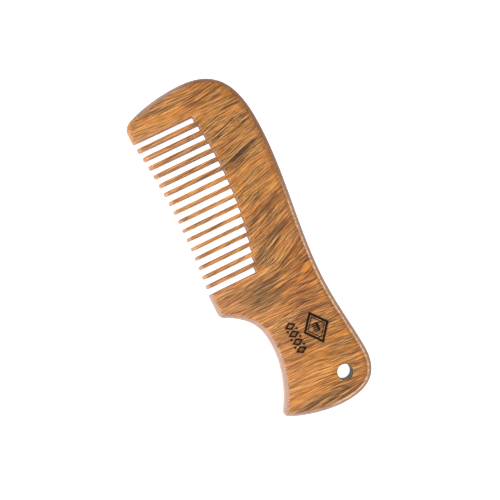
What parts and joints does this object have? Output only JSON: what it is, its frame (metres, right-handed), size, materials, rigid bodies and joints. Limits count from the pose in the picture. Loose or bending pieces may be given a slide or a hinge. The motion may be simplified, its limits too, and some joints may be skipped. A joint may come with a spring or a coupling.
{
  "type": "beard comb",
  "caption": "Flat wooden beard comb with a row of teeth between thick guards, a curved handle with a finger notch, and a hanging hole.",
  "frame": {"origin": "middle of the comb's length and width, on the back face that it lies on", "axes": "+X from the head to the handle end, +Y from the tooth tips to the spine, +Z out of the front face"},
  "size_m": [0.1394, 0.0482, 0.01],
  "materials": {
    "sandalwood": "oiled and hand polished, golden brown with dark streaks running with the teeth"
  },
  "bodies": {
    "root": {"head": "sandalwood", "tooth_01": "sandalwood", "tooth_02": "sandalwood", "tooth_03": "sandalwood", "tooth_04": "sandalwood", "tooth_05": "sandalwood", "tooth_06": "sandalwood", "tooth_07": "sandalwood", "tooth_08": "sandalwood", "tooth_09": "sandalwood", "tooth_10": "sandalwood", "tooth_11": "sandalwood", "tooth_12": "sandalwood", "tooth_13": "sandalwood", "tooth_14": "sandalwood", "tooth_15": "sandalwood", "tooth_16": "sandalwood", "back": "sandalwood", "heel": "sandalwood", "grip": "sandalwood", "hang_end": "sandalwood"}
  },
  "joints": []
}
